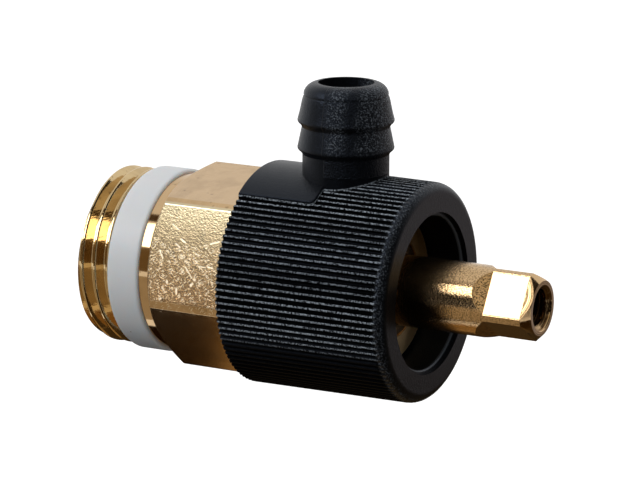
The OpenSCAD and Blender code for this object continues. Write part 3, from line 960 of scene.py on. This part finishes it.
@dataclass
class HoseSleeve:
    """Ribbed swivel sleeve with its pad and barbed hose tail: one moulding."""

    rear: float = 12.5
    front: float = 29.3
    rear_r: float = 10.25
    front_r: float = 10.05
    edge_r: float = 1.0
    ribs: int = 104
    rib_depth: float = 0.25
    bore_r: float = 6.85
    mouth_r: float = 7.05
    mouth_step_r: float = 7.4
    pad_r: float = 10.45
    pad_width: float = 11.8
    pad_end: float = 20.25
    tail_at: float = 20.4
    tail_top: float = 18.57
    tail_bore_r: float = 2.55

    def barrel(self) -> bpy.types.Object:
        """Returns the ribbed barrel with its stepped bore.

        Every rib has eight points. Those of the grooves are drawn in once the plain barrel is turned,
        less and less towards the rounded edge, where the ribs run out.
        """
        slope = (self.front_r - self.rear_r) / (self.front - self.rear)
        centre_x = self.front - self.edge_r
        centre_r = self.rear_r + slope * (centre_x - self.rear) - self.edge_r
        body = [(x, self.rear_r + slope * (x - self.rear))
                for x in (self.rear + 0.12, 16.0, 20.0, 24.0, 27.0, 27.9, 28.2)]
        edge = [(centre_x + self.edge_r * math.sin(math.radians(a)),
                 centre_r + self.edge_r * math.cos(math.radians(a))) for a in (0, 15, 30, 45, 60, 75, 90)]
        bore = [
            (self.front, self.mouth_step_r), (self.front - 0.4, self.mouth_step_r),
            (self.front - 0.4, self.mouth_r + 0.12), (self.front - 0.5, self.mouth_r), (25.3, self.mouth_r), (25.3, self.bore_r),
            (14.15, self.bore_r), (14.15, 7.2), (13.05, 7.2), (13.05, self.bore_r), (12.9, self.bore_r),
            (self.rear, self.bore_r + 0.4), (self.rear, self.rear_r - 0.12),
        ]
        outline = [*body, *edge, *bore]
        barrel = turned("hose_sleeve_dressed", outline, ring=True, segments=8 * self.ribs)
        self.draw_grooves(barrel)
        return barrel

    def draw_grooves(self, barrel: bpy.types.Object) -> None:
        """Draws the points between the ribs in towards the axis."""
        shape = (0.0, 0.06, 0.5, 0.94, 1.0, 0.94, 0.5, 0.06)
        for vertex in barrel.data.vertices:
            x, r = vertex.co.x / MM, math.hypot(vertex.co.y, vertex.co.z) / MM
            if r < self.rear_r - 0.6:
                continue
            angle = math.atan2(vertex.co.z, vertex.co.y) / math.tau * 8 * self.ribs
            share = shape[round(angle) % 8]
            fade = min(1.0, max(0.0, (self.front - 0.55 - x) / 0.7))
            drawn = 1 - share * fade * self.rib_depth / r
            vertex.co.y *= drawn
            vertex.co.z *= drawn

    def pad(self) -> bpy.types.Object:
        """Returns the smooth pad between the hexagon and the hose tail."""
        shell = turned("pad", ((self.rear, self.pad_r), (self.pad_end, self.pad_r)), segments=360)
        half = self.pad_width / 2
        outline = block("pad_outline", (self.rear - 1, -half, 7.6), (self.pad_end, half, 12))
        pick(outline)
        bpy.ops.object.mode_set(mode="EDIT")
        bpy.ops.mesh.select_all(action="DESELECT")
        bpy.ops.object.mode_set(mode="OBJECT")
        for edge in outline.data.edges:
            ends = [outline.data.vertices[i].co for i in edge.vertices]
            upright = abs(ends[0].z - ends[1].z) > MM
            edge.select = upright and min(p.x for p in ends) > (self.pad_end - 1) * MM
        bpy.ops.object.mode_set(mode="EDIT")
        bpy.ops.mesh.bevel(offset=0.5 * MM, segments=6, affect="EDGES")
        bpy.ops.object.mode_set(mode="OBJECT")
        combine(shell, outline, "INTERSECT")
        soften(shell, 0.12, over_degrees=40)
        return shell

    def tail(self) -> bpy.types.Object:
        """Returns the hose tail with its two barbs and rounded nose."""
        low, high = 12.67, 15.17
        lip = [(4.4 - 0.28 * (1 - math.cos(math.radians(a))), 0.28 * math.sin(math.radians(a)))
               for a in (-75, -50, -25, 0, 25)]
        outline = [(8.0, 3.95), (low - 0.6, 3.95)]
        outline += [(low + z, r) for r, z in lip]
        outline += [(high - 0.6, 4.0)]
        outline += [(high + z, r) for r, z in lip]
        outline += [(16.0, 4.19), (16.94, 4.0), (17.28, 3.9), (17.42, 3.79), (17.54, 3.85)]
        outline += [(17.45 + 1.12 * math.sin(math.radians(a)), 2.6 + 1.27 * math.cos(math.radians(a)))
                    for a in (15, 30, 45, 60, 75, 90)]
        return turned("tail", outline, segments=128, about=Direction.TAIL, at=self.tail_at)

    def build(self) -> None:
        """Makes the sleeve and dresses it."""
        sleeve = self.barrel()
        combine(sleeve, self.pad(), "UNION")
        combine(sleeve, self.tail(), "UNION")
        combine(sleeve, drill("tail_port", 1.75, 0, 9.21, self.tail_at), "DIFFERENCE")
        combine(sleeve, drill("tail_bore", self.tail_bore_r, 9.2, 20, self.tail_at), "DIFFERENCE")
        combine(sleeve, block("flash", (20.05, -2.62, 18.2), (20.5, -2.33, 18.52)), "UNION")
        smooth(sleeve, 35)
        dress(sleeve, GLASS_FILLED_NYLON, Body.SLEEVE, Slot.SLEEVE_PLASTIC, "hose_sleeve")


@dataclass
class Gland:
    """Bush, washer and O-ring that guide and seal the spindle."""

    outer_r: float = 4.65
    bore_r: float = 3.3
    washer_at: float = 20.9
    bush_at: float = 22.9
    neck_end: float = 25.6

    def build(self) -> None:
        """Makes the three pieces and dresses them."""
        bush = turned("gland_bush_dressed", (
            (self.bush_at, self.bore_r), (self.bush_at, self.outer_r), (self.neck_end - 0.25, self.outer_r),
            (self.neck_end, self.outer_r - 0.25), (self.neck_end, self.bore_r),
        ), ring=True)
        smooth(bush)
        dress(bush, TURNED_BRASS, Body.VALVE, Slot.WORKS_BRASS, "gland_bush")
        washer = turned("thrust_washer_dressed", (
            (self.washer_at, self.bore_r), (self.washer_at, self.outer_r),
            (self.washer_at + 0.6, self.outer_r), (self.washer_at + 0.6, self.bore_r),
        ), ring=True)
        smooth(washer)
        dress(washer, TURNED_BRASS, Body.VALVE, Slot.WORKS_BRASS, "thrust_washer")
        seal = cord_ring("spindle_o_ring_dressed", 3.27, 1.38, self.washer_at + 1.3)
        dress(seal, SEAL_RUBBER, Body.VALVE, Slot.SEAL_RUBBER, "spindle_o_ring")


def cord_ring(name: str, inner_r: float, cord: float, at: float) -> bpy.types.Object:
    """Makes a moulded O-ring.

    Args:
        name: Name of the new object.
        inner_r: Its inner radius in mm.
        cord: Thickness of its cord in mm.
        at: Place along the valve, in mm.

    Returns:
        The ring.
    """
    centre = inner_r + cord / 2
    steps = 24
    outline = [(at + cord / 2 * math.cos(math.tau * i / steps), centre + cord / 2 * math.sin(math.tau * i / steps))
               for i in range(steps)]
    ring = turned(name, outline, ring=True, segments=96)
    smooth(ring, 60)
    return ring


@dataclass
class SleeveSeals:
    """O-rings and snap ring between the neck and the sleeve."""

    seat_r: float = 5.6
    cord: float = 1.23
    places: tuple[float, float] = (15.7, 23.9)
    snap_at: float = 13.6
    wire: float = 0.9

    def build(self) -> None:
        """Makes the rings and dresses them."""
        for name, place in zip(("rear_o_ring", "front_o_ring"), self.places):
            ring = cord_ring(f"{name}_dressed", self.seat_r, self.cord, place)
            dress(ring, SEAL_RUBBER, Body.VALVE, Slot.SEAL_RUBBER, name)
        snap = cord_ring("snap_ring_dressed", 6.2, self.wire, self.snap_at)
        combine(snap, block("snap_gap", (12, -0.8, -9), (15, 0.8, 0)), "DIFFERENCE")
        smooth(snap, 60)
        dress(snap, SPRING_STEEL, Body.VALVE, Slot.SPRING_STEEL, "snap_ring")


@dataclass
class Spindle:
    """Screw, stop collar, shank and milled square with its tapped hole, in one turning."""

    inner_end: float = 8.45
    shank_r: float = 3.25
    tip: float = 40.13
    tip_face_r: float = 2.5
    square_af: float = 5.0
    square_from: float = 35.78
    square_turn: float = 32.0
    shoulder_angle: float = 31.0
    hole_r: float = 1.65
    sink_r: float = 2.1
    hole_depth: float = 8.0
    tap_pitch: float = 0.7

    def blank(self) -> bpy.types.Object:
        """Returns the turned blank with the hole in its tip and the stem's room in its inner end."""
        sink = self.sink_r - self.hole_r
        outline = (
            (self.inner_end, 0.2), (self.inner_end, 3.85), (14.8, 3.85), (14.8, 2.6), (17.85, 2.6),
            (17.85, 3.85), (19.35, 3.85), (19.35, self.shank_r), (self.tip - 0.75, self.shank_r),
            (self.tip, self.tip_face_r), (self.tip, self.sink_r), (self.tip - sink, self.hole_r),
            (self.tip - self.hole_depth, self.hole_r), (self.tip - self.hole_depth - 1.2, 0.45),
            (self.tip - self.hole_depth - 1.6, 0.02),
        )
        return turned("spindle_dressed", outline, segments=160)

    def flat_cutter(self, turn: float) -> bpy.types.Object:
        """Returns the mill that cuts one flat of the square with its sloping shoulder.

        Args:
            turn: Turn about the valve's axis, in degrees.
        """
        flat, out = self.square_af / 2, 6.0
        ramp = (out - flat) / math.tan(math.radians(self.shoulder_angle))
        cutter = block("flat_cutter", (self.square_from, -out, -out), (self.tip + 1, -flat, out))
        for vertex in cutter.data.vertices:
            if vertex.co.x < (self.square_from + 0.1) * MM and vertex.co.y < -(out - 0.1) * MM:
                vertex.co.x -= ramp * MM
        cutter.rotation_euler = (math.radians(turn - self.square_turn), 0, 0)
        return settle(cutter)

    def tapped_groove(self) -> bpy.types.Object:
        """Returns the tool that cuts the M4 thread in the tip, with its 60 degree flanks."""
        half, depth = self.tap_pitch / 2, 0.36
        section = (
            (-half + 0.03, self.hole_r - 0.2), (-half + 0.03, self.hole_r - 0.01), (-0.06, self.hole_r + depth),
            (0.06, self.hole_r + depth), (half - 0.03, self.hole_r - 0.01), (half - 0.03, self.hole_r - 0.2),
        )
        turns = 9
        first = self.tip + 0.3 - turns * self.tap_pitch
        return helix_cutter("tapped_groove", section, self.tap_pitch, first, turns, steps=48)

    def build(self) -> None:
        """Makes the spindle and dresses it."""
        spindle = self.blank()
        for turn in (0, 90, 180, 270):
            combine(spindle, self.flat_cutter(turn), "DIFFERENCE")
        for side in (-1, 1):
            low, high = sorted((side * 3.2, side * 6))
            combine(spindle, block("air_way", (7, low, -6), (14.8, high, 6)), "DIFFERENCE")
        combine(spindle, self.tapped_groove(), "DIFFERENCE")
        combine(spindle, turned("stem_room", ((7, 1.1), (9.6, 1.1), (9.6, 1.55), (10.7, 1.55))), "DIFFERENCE")
        smooth(spindle, 20)
        dress(spindle, TURNED_BRASS, Body.SPINDLE, Slot.WORKS_BRASS, "spindle")


@dataclass
class SeatValve:
    """Cup with its headed stem, and the rubber disc that closes the seat."""

    disc_at: float = 6.75
    disc_r: float = 2.8
    disc_width: float = 0.9
    carrier_r: float = 3.3

    def build(self) -> None:
        """Makes the cup and the disc and dresses them."""
        plate = self.disc_at + self.disc_width
        carrier = turned("seal_carrier_dressed", (
            (plate, 0.2), (plate, self.disc_r), (plate - 0.5, self.disc_r), (plate - 0.5, self.carrier_r),
            (plate + 0.5, self.carrier_r), (plate + 0.6, self.carrier_r - 0.1), (plate + 0.6, 1.0),
            (9.8, 1.0), (9.8, 1.4), (10.3, 1.4), (10.4, 1.3), (10.4, 0.2),
        ), segments=96)
        smooth(carrier)
        dress(carrier, TURNED_BRASS, Body.SEAL, Slot.WORKS_BRASS, "seal_carrier")
        disc = turned("seat_seal_dressed", (
            (self.disc_at, 0.2), (self.disc_at, self.disc_r - 0.08), (self.disc_at + 0.08, self.disc_r),
            (plate, self.disc_r), (plate, 0.2),
        ), segments=96)
        smooth(disc)
        dress(disc, SEAL_RUBBER, Body.SEAL, Slot.SEAL_RUBBER, "seat_seal")


MACHINED_BRASS = HexagonBrass("brass_machined", "#c2a47c", 0.17)
TURNED_BRASS = TurnedBrass("brass_turned", "#c6a67c", 0.17)
RING_PLASTIC = TurnedPtfe("ptfe_turned", "#dcdee0", 0.4, ior=1.36)
GLASS_FILLED_NYLON = GlassFilledNylon("nylon_glass_filled_moulded", "#07080a", 0.36, ior=1.53)
# Moulded rubber is dull and dark, with the fine grain of its mould.
SEAL_RUBBER = Finish("epdm_rubber_moulded", "#1b1b1b", 0.6, ior=1.52, grain=0.06, grain_depth=0.003)
# Drawn wire has a tight grey shine with faint scores.
SPRING_STEEL = Finish("spring_steel_drawn", "#8f9194", 0.3, metallic=1.0, grain=0.04, grain_depth=0.001)


@dataclass
class Studio:
    """Camera, lamps, floor and backdrop."""

    azimuth: float = 28.39
    elevation: float = 13.47
    roll: float = 0.14
    distance: float = 275.3
    focal_px: float = 3002.0
    target: tuple[float, float, float] = (17.289, 0.0, 3.585)
    ambient: float = 0.66
    ambient_below: float = 0.1
    floor_at: float = -150.0
    floor_glow: float = 0.75

    def camera(self) -> None:
        """Places the camera at the photograph's viewing angle."""
        az, el, roll = (math.radians(a) for a in (self.azimuth, self.elevation, self.roll))
        back = Vector((math.sin(az) * math.cos(el), -math.cos(az) * math.cos(el), math.sin(el)))
        level = Vector((math.cos(az), math.sin(az), 0))
        up = back.cross(level)
        right = level * math.cos(roll) + up * math.sin(roll)
        up = back.cross(right)
        place = Vector(self.target) * MM + back * self.distance * MM
        deselect()
        bpy.ops.object.camera_add()
        camera = bpy.context.object
        camera.name = "camera"
        camera.matrix_world = Matrix.Translation(place) @ Matrix((right, up, back)).transposed().to_4x4()
        camera.data.sensor_width = 36
        camera.data.lens = self.focal_px * 36 / PHOTO_WIDTH
        camera.data.clip_start = 0.01
        bpy.context.scene.camera = camera

    def white_for_camera(self, tree: bpy.types.NodeTree, plain: bpy.types.NodeSocket) -> bpy.types.NodeSocket:
        """Mixes plain white over a shader wherever the camera, a reflection or glass sees it.

        Args:
            tree: Node tree of a world or material.
            plain: The shader that lights the object.

        Returns:
            The mixed shader.
        """
        seen = add_node(tree, "LightPath").outputs
        glossy = add_node(tree, "Math", {0: seen["Is Camera Ray"], 1: seen["Is Glossy Ray"]}, operation="MAXIMUM")
        either = add_node(tree, "Math", {0: glossy.outputs[0], 1: seen["Is Transmission Ray"]}, operation="MAXIMUM")
        white = add_node(tree, "Background" if isinstance(tree.id_data, bpy.types.World) else "Emission",
                         {"Color": (1, 1, 1, 1), "Strength": 1.0})
        return add_node(tree, "MixShader", {0: either.outputs[0], 1: plain, 2: white.outputs[0]}).outputs[0]

    def world(self) -> None:
        """Gives the backdrop: white where it is seen, and a soft grey light otherwise."""
        world = bpy.data.worlds.new("backdrop")
        bpy.context.scene.world = world
        world.use_nodes = True
        tree = world.node_tree
        soft = tree.nodes["Background"]
        sky = add_node(tree, "TexCoord").outputs["Generated"]
        height = add_node(tree, "SeparateXYZ", {0: sky}).outputs[2]
        fade = add_node(tree, "MapRange", {0: height, 1: -0.8, 2: 0.9, 3: self.ambient_below, 4: self.ambient},
                        interpolation_type="SMOOTHSTEP")
        tree.links.new(fade.outputs[0], soft.inputs["Strength"])
        soft.inputs["Color"].default_value = linear("#ffffff")
        mixed = self.white_for_camera(tree, soft.outputs[0])
        tree.links.new(mixed, tree.nodes["World Output"].inputs["Surface"])

    def facing(self, direction: Point, distance: float, roll: float = 0.0) -> tuple[Vector, Sequence[float]]:
        """Works out a place in a direction from the valve, and the turn that faces the valve from there.

        Args:
            direction: Azimuth and elevation in degrees, azimuth as the camera's.
            distance: Distance from the valve, in metres.
            roll: Turn about that direction, in degrees.

        Returns:
            The place in metres, and the turn as Euler angles.
        """
        az, el = (math.radians(a) for a in direction)
        back = Vector((math.sin(az) * math.cos(el), -math.cos(az) * math.cos(el), math.sin(el)))
        turn = back.to_track_quat("Z", "Y") @ Quaternion((0, 0, 1), math.radians(roll))
        return Vector(self.target) * MM + back * distance, turn.to_euler()

    def lamp(self, name: str, direction: Point, distance: float, size: Point, strength: float) -> None:
        """Adds a soft box that faces the valve.

        Args:
            name: Name of the lamp.
            direction: Azimuth and elevation that it shines from, in degrees.
            distance: Distance from the valve, in metres.
            size: Width and height in metres.
            strength: How bright it looks, where 1 is white.
        """
        place, turn = self.facing(direction, distance)
        deselect()
        bpy.ops.object.light_add(type="AREA", location=place, rotation=turn)
        lamp = bpy.context.object
        lamp.name = name
        lamp.data.shape = "RECTANGLE"
        lamp.data.size, lamp.data.size_y = size
        lamp.data.energy = strength * math.pi * size[0] * size[1]
        lamp.visible_camera = False

    def card(self, name: str, place: Sequence[float], turn: Sequence[float], size: Point, colour: str) -> None:
        """Adds a card that glows with its own colour, dark or pale, and that only reflections show: a painted
        reflection in the metal.

        Args:
            name: Name of the card.
            place: Its middle, in metres.
            turn: Its turn as Euler angles.
            size: Width and height in metres.
            colour: The colour it glows with.
        """
        deselect()
        bpy.ops.mesh.primitive_plane_add(size=1, location=place, rotation=turn)
        card = named(name)
        card.scale = (*size, 1.0)
        settle(card)
        paper = bpy.data.materials.new(name)
        paper.use_nodes = True
        tree = paper.node_tree
        # The card glows with its colour and only reflections see it: a painted reflection.
        glow = add_node(tree, "Emission", {"Color": linear(colour), "Strength": 1.0})
        tree.links.new(glow.outputs[0], tree.nodes["Material Output"].inputs["Surface"])
        card.data.materials.append(paper)
        card.visible_camera = card.visible_diffuse = card.visible_shadow = card.visible_transmission = False

    def floor(self) -> None:
        """Lays a pale floor below the valve: white as seen, with the valve's soft shadow on it."""
        deselect()
        bpy.ops.mesh.primitive_plane_add(size=6, location=(0, 0, self.floor_at * MM))
        floor = named("floor")
        paper = bpy.data.materials.new("floor_paper")
        paper.use_nodes = True
        tree = paper.node_tree
        shader = tree.nodes["Principled BSDF"]
        shader.inputs["Base Color"].default_value = linear("#c8c8c8")
        shader.inputs["Roughness"].default_value = 0.9
        glow = add_node(tree, "Emission", {"Color": (1, 1, 1, 1), "Strength": self.floor_glow})
        lit = add_node(tree, "AddShader", {0: shader.outputs[0], 1: glow.outputs[0]}).outputs[0]
        seen = add_node(tree, "LightPath").outputs
        direct = add_node(tree, "Math", {0: seen["Is Camera Ray"], 1: seen["Is Glossy Ray"]}, operation="MAXIMUM")
        either = add_node(tree, "Math", {0: direct.outputs[0], 1: seen["Is Transmission Ray"]},
                          operation="MAXIMUM")
        mixed = add_node(tree, "MixShader", {0: either.outputs[0], 1: shader.outputs[0], 2: lit})
        tree.links.new(mixed.outputs[0], tree.nodes["Material Output"].inputs["Surface"])
        floor.data.materials.append(paper)
        floor.visible_diffuse = False

    def build(self) -> None:
        """Builds the whole studio."""
        self.camera()
        self.world()
        self.floor()
        self.lamp("key", (-35, 34.3), 0.45, (0.24, 0.197), 5.0)
        # Direction, distance, roll, size and colour. Low ones stand near, so that all of them is above the floor.
        for name, direction, distance, roll, size, colour in (
            ("card_under_key", (-42, 8.3), 0.4, 0, (0.42, 0.19), "#7a6443"),
            ("card_before_shank", (-12.4, 0.6), 0.0456, 0, (0.026, 0.034), "#0e0803"),
            ("card_over_key", (-42, 51.5), 0.4, 0, (0.3, 0.05), "#55432c"),
            ("card_front_low", (-44, -33), 0.14, 0, (0.18, 0.115), "#b9aa92"),
            ("card_front_low_right", (-6, -46), 0.155, -27, (0.12, 0.12), "#3d2f1e"),
            ("card_front_right", (35, -5), 0.2, 0, (0.25, 0.25), "#15130f"),
            ("card_right", (100, 12), 0.2, 0, (0.25, 0.3), "#2a241c"),
            ("card_right_high", (52, 48), 0.4, 0, (0.4, 0.22), "#dccfb4"),
            ("card_back_right", (152, -13), 0.2, 0, (0.18, 0.15), "#bcb2b0"),
            ("card_low_right", (42, -50), 0.13, 0, (0.2, 0.1), "#33240f"),
        ):
            self.card(name, *self.facing(direction, distance, roll), size, colour)
        self.card("card_below_left", (-0.164, 0.19, -0.06), (0, 0, 0), (0.3, 0.4), "#1e1003")
        self.card("card_below_hexagon", (0.011, 0.002, -0.058), (0, 0, 0), (0.058, 0.044), "#a88758")
        self.card("card_below_right", (0.136, 0.19, -0.06), (0, 0, 0), (0.3, 0.4), "#44351f")
        bpy.context.scene.view_settings.view_transform = "Standard"


def main() -> None:
    """Builds every piece."""
    logging.basicConfig(level=logging.INFO, format="%(name)s: %(message)s")
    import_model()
    Studio().build()
    for part in (BrassBody(), SealRing(), HoseSleeve(), Gland(), SleeveSeals(), Spindle(), SeatValve()):
        part.build()


if __name__ == "__main__":
    main()
